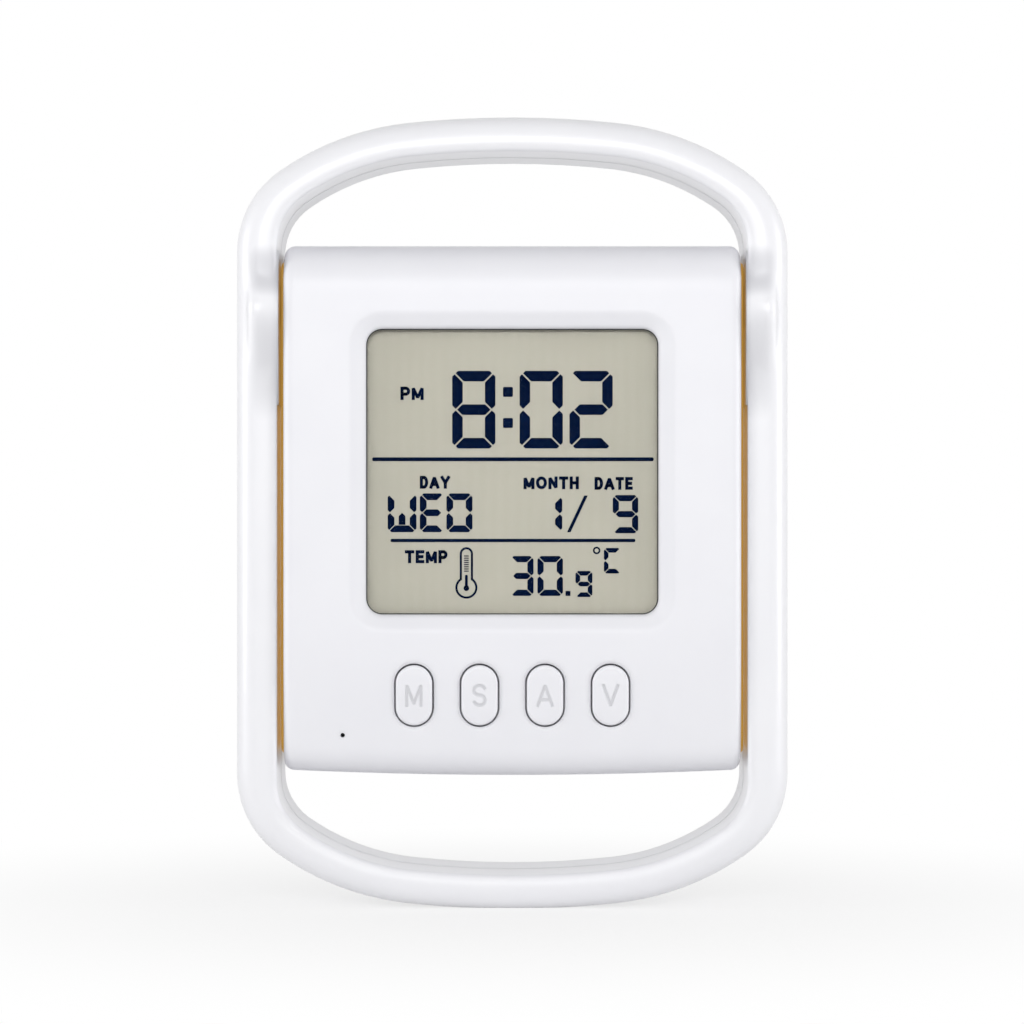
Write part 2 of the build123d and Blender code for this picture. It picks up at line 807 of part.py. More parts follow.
def build_electronics(plunger_front):
    """The board and what is mounted on it, and the buzzer on the rear wall."""
    chip = rod(chip_radius, 0, window_z, board_back, board_back + chip_height)
    chip = fillet(chip.faces().sort_by(Axis.Y)[-1].edges(), chip_round)
    crystal_z = window_z - crystal_shift
    crystal = cross_rod(
        crystal_radius, crystal_shift, crystal_shift + crystal_length, board_back + crystal_radius, crystal_z
    )
    buzzer_z = body_top - buzzer_drop
    buzzer = rod(buzzer_radius, 0, buzzer_z, rear_inner - buzzer_height, rear_inner)
    buzzer += rod(buzzer_radius + buzzer_rim, 0, buzzer_z, rear_inner - buzzer_rim_height, rear_inner)
    mouth_radius = sound_hole_ring + sound_hole_radius
    buzzer -= rod(mouth_radius, 0, buzzer_z, rear_inner - buzzer_rim_height, rear_depth)
    sizes = (board_head_radius, board_head_height, board_screw_radius, board_thickness + board_screw_bite)
    return {
        "circuit_board": circuit_board(),
        "controller_chip": chip,
        "clock_crystal": crystal,
        "buzzer": buzzer,
        "temperature_sensor": temperature_sensor(),
        "tact_switches": tact_switches(plunger_front),
        "board_screws": rear_screws(board_screw_places(), board_back, *sizes),
    }


def build_buttons(flange_front):
    """Four oval keys that follow the chin, with rounded rims and a flange behind the face."""
    flange_back = flange_front + button_flange_thickness
    width = button_hole_width - 2 * moving_gap
    length = button_hole_length - 2 * moving_gap
    centre = Pos(0, button_z)
    cap = slab(centre * upright_slot(width, length), -front_depth - cut_overrun, flange_back)
    cap &= Pos(0, -button_proud, 0) * body_form(0, 0)
    cap = fillet(cap.faces().sort_by(Axis.Y)[0].edges(), button_round)
    flange_outline = upright_slot(
        button_hole_width + 2 * button_flange, button_hole_length + 2 * button_flange
    )
    cap += slab(centre * flange_outline, flange_front, flange_back)
    names = ("button_mode", "button_set", "button_up", "button_down")
    return {name: Pos(x, 0, 0) * cap for name, x in zip(names, button_places())}


# Batteries


def battery_cell(side, z):
    """One cell along the width with its nub on the given side."""
    start = -side * cell_half
    can_end = start + side * cell_length
    can = cross_rod(cell_radius, start, can_end, cell_y, z)
    ends = can.faces().filter_by(Axis.X)
    can = chamfer([edge for face in ends for edge in face.edges()], cell_chamfer)
    return can + cross_rod(nub_radius, can_end, can_end + side * nub_length, cell_y, z)


def contact_plate(low, high):
    """A flat contact at the right end of the tray, between two heights."""
    outline = Pos(cell_y, (low + high) / 2) * Rectangle(contact_width, high - low)
    return extrude(Plane.YZ.offset(contact_face) * outline, contact_thickness)


def contact_dimple(z):
    """A pressed dimple that meets a cell's nub."""
    outline = Pos(cell_y, z) * Circle(contact_dimple_radius)
    return extrude(Plane.YZ.offset(contact_face) * outline, -contact_rise, taper=contact_dimple_taper)


def contact_leaf(z):
    """A bowed leaf that presses on a cell's flat end."""
    start = cell_y - contact_width / 2
    end = cell_y + contact_width / 2
    crest = contact_face - contact_rise
    bow = make_face(
        [
            ThreePointArc((contact_face, start), (crest, cell_y), (contact_face, end)),
            Line((contact_face, end), (contact_face, end - contact_foot)),
            ThreePointArc(
                (contact_face, end - contact_foot),
                (crest + contact_thickness, cell_y),
                (contact_face, start + contact_foot),
            ),
            Line((contact_face, start + contact_foot), (contact_face, start)),
        ]
    )
    return extrude(Plane.XY.offset(z - contact_width / 2) * bow, contact_width)


def build_batteries():
    """Two cells lying head to tail and the three contacts that join them."""
    upper = tray_z + cell_offset
    lower = tray_z - cell_offset
    reach = contact_width / 2
    plus = contact_plate(upper - reach, upper + reach) + contact_dimple(upper)
    minus = contact_plate(lower - reach, lower + reach) + contact_leaf(lower)
    link = contact_plate(lower - reach, upper + reach) + contact_dimple(lower) + contact_leaf(upper)
    return {
        "battery_cell_upper": battery_cell(1, upper),
        "battery_cell_lower": battery_cell(-1, lower),
        "battery_contact_plus": plus,
        "battery_contact_minus": minus,
        "battery_contact_link": mirror(link, about=Plane.YZ),
    }


def battery_door():
    """The door: a plate with a rounded lower edge, two trunnions, a latch tongue and grip ribs."""
    outline = Pos(0, (door_axis_z + door_top) / 2) * Rectangle(2 * door_half, door_top - door_axis_z)
    door = slab(outline, door_inner, rear_depth)
    door += cross_rod(door_thickness / 2, -door_half, door_half, door_axis_y, door_axis_z)
    trunnion_half = door_half + door_trunnion_length
    door += cross_rod(door_trunnion_radius, -trunnion_half, trunnion_half, door_axis_y, door_axis_z)
    tongue = Rectangle(door_tongue_width, 2 * door_tongue_length)
    door += slab(Pos(0, door_top) * tongue, rear_depth - door_tongue_thickness, rear_depth)
    for index in range(door_rib_count):
        rib_z = door_top - (index + 1) * door_rib_pitch
        rib = Pos(0, rib_z) * Rectangle(door_tongue_width, door_rib_width)
        door += slab(rib, rear_depth - door_rib_height, rear_depth + door_rib_height)
    return door


def main():
    """Build every piece and write one file for each."""
    flange_front = face_depth(body_base + bottom_round) + face_wall + button_flange_gap
    plunger_front = flange_front + button_flange_thickness + button_travel + button_stop_gap
    pieces = {}
    pieces.update(build_hoop())
    pieces.update(build_body())
    pieces.update(build_display())
    pieces.update(build_electronics(plunger_front))
    pieces.update(build_buttons(flange_front))
    pieces.update(build_batteries())
    pieces["battery_door"] = battery_door()
    os.makedirs("parts", exist_ok=True)
    for name, piece in pieces.items():
        solids = piece if isinstance(piece, list) else [piece]
        whole = Compound(children=[solid for part in solids for solid in part.solids()])
        export_step(whole, f"parts/{name}.step")


main()
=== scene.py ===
"""Looks of the table clock: finishes, display figures, key letters and a plain studio round the solids."""
import logging
import math
from dataclasses import dataclass, replace
from enum import Enum
from typing import Any, ClassVar

import bmesh
import bpy
from mathutils import Matrix, Vector


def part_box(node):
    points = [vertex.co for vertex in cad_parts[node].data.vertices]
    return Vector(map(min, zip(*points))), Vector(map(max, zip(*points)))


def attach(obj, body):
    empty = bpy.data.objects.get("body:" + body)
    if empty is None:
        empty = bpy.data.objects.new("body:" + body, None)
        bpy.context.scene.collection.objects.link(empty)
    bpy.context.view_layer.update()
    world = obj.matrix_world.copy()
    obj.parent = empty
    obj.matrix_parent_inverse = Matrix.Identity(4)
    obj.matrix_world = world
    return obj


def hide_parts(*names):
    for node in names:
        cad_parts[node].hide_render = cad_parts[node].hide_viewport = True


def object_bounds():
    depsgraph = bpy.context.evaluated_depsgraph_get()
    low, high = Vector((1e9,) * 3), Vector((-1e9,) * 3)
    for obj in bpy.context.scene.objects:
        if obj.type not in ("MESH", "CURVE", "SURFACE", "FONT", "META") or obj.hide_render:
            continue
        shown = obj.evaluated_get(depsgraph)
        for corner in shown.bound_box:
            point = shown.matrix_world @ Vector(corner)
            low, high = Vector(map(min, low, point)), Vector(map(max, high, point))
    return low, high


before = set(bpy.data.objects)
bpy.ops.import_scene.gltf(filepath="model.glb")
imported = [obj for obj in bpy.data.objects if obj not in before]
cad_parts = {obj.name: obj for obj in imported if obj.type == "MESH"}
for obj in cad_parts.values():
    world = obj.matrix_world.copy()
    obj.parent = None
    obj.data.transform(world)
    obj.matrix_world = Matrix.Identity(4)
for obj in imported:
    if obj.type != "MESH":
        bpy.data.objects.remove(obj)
cad_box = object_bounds()

log = logging.getLogger("table_clock")

MM = 0.001

# Sockets of a colour Mix node, which share their names with its other sockets
MIX_FIRST, MIX_SECOND, MIX_RESULT = 6, 7, 2

Point = tuple[float, float]
Place = tuple[float, float, float]
Outline = list[Point]
Colour = tuple[float, float, float, float]


class Body(Enum):
    """The bodies that new pieces ride on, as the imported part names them."""

    CLOCK = "clock"
    MODE = "button_mode"
    SET = "button_set"
    UP = "button_up"
    DOWN = "button_down"


class Slot(Enum):
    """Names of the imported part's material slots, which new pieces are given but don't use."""

    WHITE = "white_satin"
    INK = "black_plastic"


def linear(colour: str) -> Colour:
    """Turn an sRGB hex colour into linear light.

    Args:
        colour: Six hex digits after a hash sign.

    Returns:
        Red, green and blue in linear light, with full alpha.
    """
    channels = [int(colour[i:i + 2], 16) / 255 for i in (1, 3, 5)]
    red, green, blue = [c / 12.92 if c <= 0.04045 else ((c + 0.055) / 1.055) ** 2.4 for c in channels]
    return red, green, blue, 1.0


def per_mm(size: float) -> float:
    """Texture scale whose pattern repeats about once in a size given in millimetres."""
    return 1 / (size * MM)


def add_node(
    tree: bpy.types.NodeTree, kind: str, inputs: dict[Any, Any], **settings: Any
) -> bpy.types.Node:
    """Add a node with its settings and links.

    Args:
        tree: The node tree that gets the node.
        kind: Blender's name for the node type.
        inputs: Values or output sockets, by the name or number of the input that takes them.
        **settings: Attributes of the node itself.

    Returns:
        The new node.
    """
    node = tree.nodes.new(kind)
    for name, value in settings.items():
        setattr(node, name, value)
    for key, value in inputs.items():
        if isinstance(value, bpy.types.NodeSocket):
            tree.links.new(value, node.inputs[key])
        else:
            node.inputs[key].default_value = value
    return node


@dataclass(frozen=True)
class Finish:
    """A moulded or plain surface: a colour with faint clouds, a grain in the surface and an uneven gloss.

    Edges look rounded by the edge radius, and a finish with glow gives off painted light in its own colour.
    Sizes are in millimetres, colours are sRGB hex values.
    """

    name: str
    colour: str
    cloud_colour: str
    roughness: float
    roughness_spread: float = 0.04
    cloud_size: float = 14.0
    grain_size: float = 0.5
    grain_depth: float = 0.004
    grain_strength: float = 0.3
    ior: float = 1.5
    metallic: float = 0.0
    coat: float = 0.0
    scatter: float = 0.0
    scatter_depth: float = 0.6
    edge_radius: float = 0.0
    painted_glow: float = 0.0

    GRAIN_DETAIL: ClassVar[float] = 3.0
    EDGE_SAMPLES: ClassVar[int] = 8
    EVEN_SCATTER: ClassVar[Place] = (1.0, 1.0, 1.0)

    def pattern(self, tree: bpy.types.NodeTree, place: bpy.types.NodeSocket) -> bpy.types.NodeSocket:
        """Colour of the surface.

        Args:
            tree: The material's node tree.
            place: Object coordinates.

        Returns:
            The colour socket that feeds the shader.
        """
        clouds = add_node(tree, "ShaderNodeTexNoise", {"Vector": place, "Scale": per_mm(self.cloud_size)})
        mixed = add_node(
            tree,
            "ShaderNodeMix",
            {
                0: clouds.outputs["Fac"],
                MIX_FIRST: linear(self.colour),
                MIX_SECOND: linear(self.cloud_colour),
            },
            data_type="RGBA",
        )
        return mixed.outputs[MIX_RESULT]

    def material(self) -> bpy.types.Material:
        """Make the material of this finish, or find it where it was made before.

        Returns:
            The material.
        """
        found = bpy.data.materials.get(self.name)
        if found is not None:
            return found
        made = bpy.data.materials.new(self.name)
        made.use_nodes = True
        tree = made.node_tree
        tree.nodes.clear()
        place = add_node(tree, "ShaderNodeTexCoord", {}).outputs["Object"]
        grain = add_node(
            tree,
            "ShaderNodeTexNoise",
            {"Vector": place, "Scale": per_mm(self.grain_size), "Detail": self.GRAIN_DETAIL},
        )
        gloss = add_node(
            tree,
            "ShaderNodeMapRange",
            {
                "Value": grain.outputs["Fac"],
                "To Min": self.roughness - self.roughness_spread,
                "To Max": self.roughness + self.roughness_spread,
            },
        )
        bump = add_node(
            tree,
            "ShaderNodeBump",
            {
                "Height": grain.outputs["Fac"],
                "Distance": self.grain_depth * MM,
                "Strength": self.grain_strength,
            },
        )
        if self.edge_radius:
            rounding = add_node(
                tree, "ShaderNodeBevel", {"Radius": self.edge_radius * MM}, samples=self.EDGE_SAMPLES
            )
            tree.links.new(rounding.outputs["Normal"], bump.inputs["Normal"])
        shader = add_node(
            tree,
            "ShaderNodeBsdfPrincipled",
            {
                "Base Color": self.pattern(tree, place),
                "Roughness": gloss.outputs["Result"],
                "Normal": bump.outputs["Normal"],
                "IOR": self.ior,
                "Metallic": self.metallic,
                "Coat Weight": self.coat,
                "Subsurface Weight": self.scatter,
                "Subsurface Radius": self.EVEN_SCATTER,
                "Subsurface Scale": self.scatter_depth * MM,
                # Glow: painted light in the finish's own colour, on parts that are no lamps
                "Emission Color": linear(self.colour),
                "Emission Strength": self.painted_glow,
            },
        )
        add_node(tree, "ShaderNodeOutputMaterial", {"Surface": self.surface(tree, shader)})
        return made

    def surface(self, tree: bpy.types.NodeTree, shader: bpy.types.Node) -> bpy.types.NodeSocket:
        """The shader socket that the surface shows."""
        return shader.outputs["BSDF"]


@dataclass(frozen=True)
class PaintedShadePatch:
    """A soft box with round corners where a surface's colour carries painted shade, on both sides.
    Millimetres.
    """

    centre: Place
    half_sizes: Place
    colour: str


@dataclass(frozen=True)
class PaintedShadeFinish(Finish):
    """A finish with painted shade: darker patches in its colour, which fade out towards their edges."""

    painted_shades: tuple[PaintedShadePatch, ...] = ()

    def pattern(self, tree: bpy.types.NodeTree, place: bpy.types.NodeSocket) -> bpy.types.NodeSocket:
        """Colour of the surface with its patches of painted shade.

        Args:
            tree: The material's node tree.
            place: Object coordinates.

        Returns:
            The colour socket that feeds the shader.
        """
        colour = super().pattern(tree, place)
        either_side = add_node(tree, "ShaderNodeVectorMath", {0: place}, operation="ABSOLUTE")
        for shade_patch in self.painted_shades:
            away = add_node(
                tree,
                "ShaderNodeVectorMath",
                {0: either_side.outputs["Vector"], 1: Vector(shade_patch.centre) * MM},
                operation="SUBTRACT",
            ).outputs["Vector"]
            shares = add_node(
                tree,
                "ShaderNodeVectorMath",
                {0: away, 1: Vector(shade_patch.half_sizes) * MM},
                operation="DIVIDE",
            ).outputs["Vector"]
            squares = add_node(tree, "ShaderNodeVectorMath", {0: shares, 1: shares}, operation="MULTIPLY")
            share = add_node(
                tree, "ShaderNodeVectorMath", {0: squares.outputs["Vector"]}, operation="LENGTH"
            )
            # Painted shade: full patch colour in the middle, fading to none at the patch's edge
            painted_shade = add_node(
                tree,
                "ShaderNodeMapRange",
                {"Value": share.outputs["Value"], "To Min": 1.0, "To Max": 0.0},
                interpolation_type="SMOOTHSTEP",
            )
            mixed = add_node(
                tree,
                "ShaderNodeMix",
                {0: painted_shade.outputs["Result"], MIX_FIRST: colour, MIX_SECOND: linear(shade_patch.colour)},
                data_type="RGBA",
            )
            colour = mixed.outputs[MIX_RESULT]
        return colour


@dataclass(frozen=True)
class ClearSheet(Finish):
    """A clear polished sheet that shows what lies behind it."""

    clearness: float = 1.0

    def surface(self, tree: bpy.types.NodeTree, shader: bpy.types.Node) -> bpy.types.NodeSocket:
        """Clear glass for the eye, and no shadow behind it.

        Args:
            tree: The material's node tree.
            shader: The glass shader.

        Returns:
            The shader socket that the surface shows.
        """
        shader.inputs["Transmission Weight"].default_value = self.clearness
        path = add_node(tree, "ShaderNodeLightPath", {})
        clear = add_node(tree, "ShaderNodeBsdfTransparent", {})
        mixed = add_node(
            tree,
            "ShaderNodeMixShader",
            {0: path.outputs["Is Shadow Ray"], 1: shader.outputs["BSDF"], 2: clear.outputs["BSDF"]},
        )
        return mixed.outputs["Shader"]


@dataclass(frozen=True)
class LinedFinish(Finish):
    """A finish with fine upright lines, such as a brushed film or the copper runs of a board."""

    line_pitch: float = 1.4
    line_colour: str = "#FFFFFF"
    line_share: float = 0.1

    WAVER: ClassVar[float] = 1.5

    def pattern(self, tree: bpy.types.NodeTree, place: bpy.types.NodeSocket) -> bpy.types.NodeSocket:
        """Colour of the surface with its lines.

        Args:
            tree: The material's node tree.
            place: Object coordinates.

        Returns:
            The colour socket that feeds the shader.
        """
        lines = add_node(
            tree,
            "ShaderNodeTexWave",
            {
                "Vector": place,
                "Scale": per_mm(self.line_pitch) / (2 * math.pi),
                "Distortion": self.WAVER,
            },
            bands_direction="X",
        )
        faint = add_node(
            tree, "ShaderNodeMapRange", {"Value": lines.outputs["Fac"], "To Max": self.line_share}
        )
        mixed = add_node(
            tree,
            "ShaderNodeMix",
            {
                0: faint.outputs["Result"],
                MIX_FIRST: super().pattern(tree, place),
                MIX_SECOND: linear(self.line_colour),
            },
            data_type="RGBA",
        )
        return mixed.outputs[MIX_RESULT]


@dataclass(frozen=True)
class SleevedCell(Finish):
    """A printed sleeve round a cell, with a band of another colour towards the plus end."""

    band_colour: str = "#B07A3C"
    band_start: float = 9.0
    plus_side: int = 1

    def pattern(self, tree: bpy.types.NodeTree, place: bpy.types.NodeSocket) -> bpy.types.NodeSocket:
        """Colour of the sleeve and its band.

        Args:
            tree: The material's node tree.
            place: Object coordinates.

        Returns:
            The colour socket that feeds the shader.
        """
        width = add_node(tree, "ShaderNodeSeparateXYZ", {"Vector": place}).outputs["X"]
        edge = self.plus_side * self.band_start * MM
        past = add_node(
            tree,
            "ShaderNodeMath",
            {0: width, 1: edge},
            operation="GREATER_THAN" if self.plus_side > 0 else "LESS_THAN",
        )
        mixed = add_node(
            tree,
            "ShaderNodeMix",
            {
                0: past.outputs["Value"],
                MIX_FIRST: super().pattern(tree, place),
                MIX_SECOND: linear(self.band_colour),
            },
            data_type="RGBA",
        )
        return mixed.outputs[MIX_RESULT]


# The right hub's inner face and the height of the pivots, in millimetres
hub_low, hub_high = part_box("hub_bush_right")
HUB_FACE = hub_low.x / MM
PIVOT_HEIGHT = (hub_low.z + hub_high.z) / 2 / MM

# Gloss-moulded ABS: the hoop's polished mould gives clear soft highlights and a trace of orange peel.
# The ramps over and under the pivots carry painted shade, as soft darker patches in the colour.
GLOSS_ABS = PaintedShadeFinish(
    "abs_white_gloss_moulded", "#F4F4F7", "#F0F0F4", 0.30, roughness_spread=0.03, grain_size=1.6,
    grain_depth=0.02, grain_strength=0.10, ior=1.53, coat=0.15, scatter=0.08, edge_radius=3.0,
    painted_shades=(
        # Painted shade on the upper and lower ramps beside each pivot
        PaintedShadePatch((HUB_FACE + 1.1, 0.0, PIVOT_HEIGHT + 5.88), (4.7, 60.0, 5.0), "#CFCFD4"),
        PaintedShadePatch((HUB_FACE + 1.1, 0.0, PIVOT_HEIGHT - 10.42), (4.3, 60.0, 11.3), "#DADADE"),
    ),
)
# Satin ABS: a spark-eroded mould leaves a fine grain, drawn about twice as coarse so that it shows.
SATIN_ABS = Finish(
    "abs_white_satin_moulded", "#EFEFF3", "#EAEAEF", 0.42, roughness_spread=0.05,
    grain_size=0.45, grain_depth=0.02, grain_strength=0.12, ior=1.53, scatter=0.08, edge_radius=1.4,
)
# The same satin ABS on the small keys, whose edges are rounded less.
KEY_ABS = replace(SATIN_ABS, name="abs_white_satin_key", edge_radius=0.4)
# Painted shade in the engraved letters: their cut faces take a darker matt grey, a little uneven, that
# stands in for the shade in the engraving.
LETTER_PAINTED_SHADE = Finish("letter_painted_shade_grey", "#DFDFE3", "#DADADE", 0.6, grain_size=0.3)
# Tinted amber acrylic; its glow is painted light, which makes the gap beside it look lit amber.
AMBER_ACRYLIC = Finish(
    "acrylic_amber_moulded", "#866528", "#7C5C22", 0.3, cloud_size=6.0, ior=1.49, scatter=0.3, painted_glow=1.2,
)
# Clear acrylic: a dip coat against glare leaves the window almost without reflections.
CLEAR_ACRYLIC = ClearSheet(
    "acrylic_clear_glare_coated", "#FCFDFD", "#F8FAFA", 0.03,
    roughness_spread=0.01, grain_size=8.0, grain_depth=0.0005, ior=1.06,
)
# Reflective display glass: a warm grey film behind the glass, with faint brushed lines. They are drawn
# coarser than they are so that they show.
LCD_FILM = LinedFinish(
    "lcd_glass_reflective_film", "#9D998E", "#99958A", 0.5, cloud_size=9.0, grain_size=0.25, ior=1.05,
    line_pitch=1.1, line_colour="#8F8D81", line_share=0.12,
)
# Switched display segments: navy where the crystal turns the light off, with no gloss of their own.
LCD_SEGMENT = Finish("lcd_segment_navy", "#000A22", "#010C26", 0.5, cloud_size=2.0, ior=1.05)
# Black ABS of the inner parts: dull, with a fine grain.
BLACK_ABS = Finish("abs_black_moulded", "#17171A", "#1F1F22", 0.5)
# Silicone and nitrile rubber: dull and slightly dusty.
GREY_RUBBER = Finish("rubber_grey_moulded", "#4A4A4C", "#565658", 0.75, cloud_size=3.0)
# Nylon: waxy and slightly yellow.
NATURAL_NYLON = Finish("nylon_natural_moulded", "#E9E4D4", "#DED8C4", 0.45, scatter=0.2)
# Solder mask over glass-fibre board: glossy green with paler copper runs under it.
SOLDER_MASK = LinedFinish(
    "board_green_solder_mask", "#14532F", "#0F4426", 0.3,
    line_pitch=2.5, line_colour="#2C7A4B", line_share=0.5,
)
# Nickel-plated steel: bright, with a drawn grain.
NICKEL_STEEL = Finish(
    "steel_nickel_plated", "#C9C8C4", "#B5B4B0", 0.25, cloud_size=1.5, metallic=1.0, grain_size=0.2,
)


def sleeve(plus_side: int) -> SleevedCell:
    """Printed sleeve of a cell whose plus end lies on one side.

    Args:
        plus_side: 1 where the plus end lies towards +X, and -1 where it lies towards -X.

    Returns:
        The finish of that cell.
    """
    side = "right" if plus_side > 0 else "left"
    return SleevedCell(
        f"cell_sleeve_printed_{side}", "#20242C", "#262B34", 0.3, coat=0.4, plus_side=plus_side
    )


def dress(finish: Finish, *nodes: str) -> None:
    """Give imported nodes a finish.

    Args:
        finish: The finish that they all get.
        *nodes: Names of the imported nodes.
    """
    for name in nodes:
        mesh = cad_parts[name].data
        mesh.materials.clear()
        mesh.materials.append(finish.material())
        log.info("%s: %s", name, finish.name)


def new_piece(name: str, mesh: bpy.types.Mesh, body: Body) -> bpy.types.Object:
    """Put a mesh into the scene as a piece that rides on a body.

    Args:
        name: Name of the piece.
        mesh: Its mesh, in the part's frame.
        body: The body that it moves with.

    Returns:
        The new object.
    """
    piece = bpy.data.objects.new(name, mesh)
    bpy.context.scene.collection.objects.link(piece)
    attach(piece, body.value)
    log.info("%s: new piece on %s", name, body.value)
    return piece


# Straight steps in an oval stroke and in a rounded corner
OVAL_STEPS = 35
CORNER_STEPS = 8


def arc(centre: Point, radius: float, start: float, end: float, steps: int) -> Outline:
    """Points along an arc.

    Args:
        centre: Middle of the arc.
        radius: Its radius.
        start: First angle in degrees.
        end: Last angle in degrees.
        steps: Number of straight steps.

    Returns:
        The points, first to last.
    """
    angles = [math.radians(start + (end - start) * step / steps) for step in range(steps + 1)]
    return [(centre[0] + radius * math.cos(a), centre[1] + radius * math.sin(a)) for a in angles]


def oval(x: float, z: float, wide: float, tall: float, start: float, end: float) -> Outline:
    """Points along a part of an oval.

    Args:
        x: Middle of the oval, across.
        z: Middle of the oval, upwards.
        wide: Half of its width.
        tall: Half of its height.
        start: First angle in degrees.
        end: Last angle in degrees.

    Returns:
        The points, first to last.
    """
    return [(x + u * wide, z + v * tall) for u, v in arc((0, 0), 1, start, end, OVAL_STEPS)]


def round_dot(centre: Point, radius: float) -> Outline:
    """Points all round a small circle, without the last step back to the first."""
    return arc(centre, radius, 0, 345, 23)


def rounded_box(left: float, right: float, low: float, high: float, radius: float) -> Outline:
    """Outline of a box with round corners.

    Args:
        left: Left edge.
        right: Right edge.
        low: Lower edge.
        high: Upper edge.
        radius: Corner radius.

    Returns:
        The points, anticlockwise.
    """
    inner = [
        ((right - radius, high - radius), 0),
        ((left + radius, high - radius), 90),
        ((left + radius, low + radius), 180),
        ((right - radius, low + radius), 270),
    ]
    corners = [arc(centre, radius, start, start + 90, CORNER_STEPS) for centre, start in inner]
    return sum(corners, [])


# A corner so sharp that the mean of its two normals is shorter than this is cut off
SHARP_NORMAL = 0.6


def ribbon(path: Outline, width: float) -> Outline:
    """Outline of an even stroke along a path, with square ends and cut-off sharp corners.

    Args:
        path: Points of the stroke's middle line.
        width: Width of the stroke.

    Returns:
        The points of the outline.
    """
    points = [Vector(point) for point in path]
    half = width / 2
    steps = [(end - start).normalized() for start, end in zip(points, points[1:])]
    points[0] -= steps[0] * half
    points[-1] += steps[-1] * half
    runs: list[Outline] = []
    for side in (1, -1):
        run = []
        for point, before, after in zip(points, steps[:1] + steps, steps + steps[-1:]):
            normals = [Vector((-step.y, step.x)) * side for step in (before, after)]
            across = (normals[0] + normals[1]) / 2
            outside = side * (before.x * after.y - before.y * after.x) < 0
            if outside and across.length < SHARP_NORMAL:
                run += [tuple(point + normal * half) for normal in normals]
            else:
                run.append(tuple(point + across * (half / across.length_squared)))
        runs.append(run)
    return runs[0] + runs[1][::-1]


@dataclass(frozen=True)
class StrokeLetter:
    """A plain capital of even strokes that fills a box. Millimetres."""

    character: str
    left: float
    low: float
    width: float
    height: float
    stroke: float

    SPACE: ClassVar[float] = 0.09
    WIDTHS: ClassVar[dict[str, float]] = {
        "A": 0.76, "D": 0.64, "E": 0.57, "H": 0.62, "M": 0.74,
        "N": 0.62, "O": 0.74, "P": 0.6, "T": 0.62, "Y": 0.72,
    }
    PATHS: ClassVar[dict[str, list[Outline]]] = {
        "A": [[(0, 0), (0.5, 1), (1, 0)], [(0.25, 0.28), (0.75, 0.28)]],
        "D": [[(0.45, 0), (0, 0), (0, 1), (0.45, 1)], oval(0.45, 0.5, 0.55, 0.5, -90, 90)],
        "E": [[(1, 0), (0, 0), (0, 1), (1, 1)], [(0.1, 0.5), (0.85, 0.5)]],
        "H": [[(0, 0), (0, 1)], [(1, 0), (1, 1)], [(0.1, 0.5), (0.9, 0.5)]],
        "M": [[(0, 0), (0, 1), (0.5, 0.08), (1, 1), (1, 0)]],
        "N": [[(0, 0), (0, 1), (1, 0), (1, 1)]],
        "O": [],
        "P": [
            [(0, 0), (0, 1), (0.55, 1)], [(0.1, 0.42), (0.55, 0.42)], oval(0.55, 0.71, 0.45, 0.29, -90, 90),
        ],
        "S": [oval(0.5, 0.76, 0.5, 0.24, 25, 255) + oval(0.5, 0.26, 0.5, 0.26, 75, -155)],
        "T": [[(0, 1), (1, 1)], [(0.5, 0), (0.5, 0.9)]],
        "V": [[(0, 1), (0.5, 0), (1, 1)]],
        "Y": [[(0, 1), (0.5, 0.45), (1, 1)], [(0.5, 0), (0.5, 0.4)]],
    }

    def outlines(self) -> list[Outline]:
        """Shape its open strokes.

        Returns:
            An outline for each stroke.
        """
        wide, tall = self.width - self.stroke, self.height - self.stroke
        x, z = self.left + self.stroke / 2, self.low + self.stroke / 2
        return [
            ribbon([(x + u * wide, z + v * tall) for u, v in path], self.stroke)
            for path in self.PATHS[self.character]
        ]

    def rings(self) -> list[tuple[Outline, Outline]]:
        """Shape its closed stroke, which only a round letter has.

        Returns:
            Pairs of an outer and an inner outline.
        """
        if self.character != "O":
            return []
        x, z = self.left + self.width / 2, self.low + self.height / 2
        outer, inner = (
            oval(x, z, self.width / 2 - inset, self.height / 2 - inset, 0, 350)
            for inset in (0, self.stroke)
        )
        return [(outer, inner)]


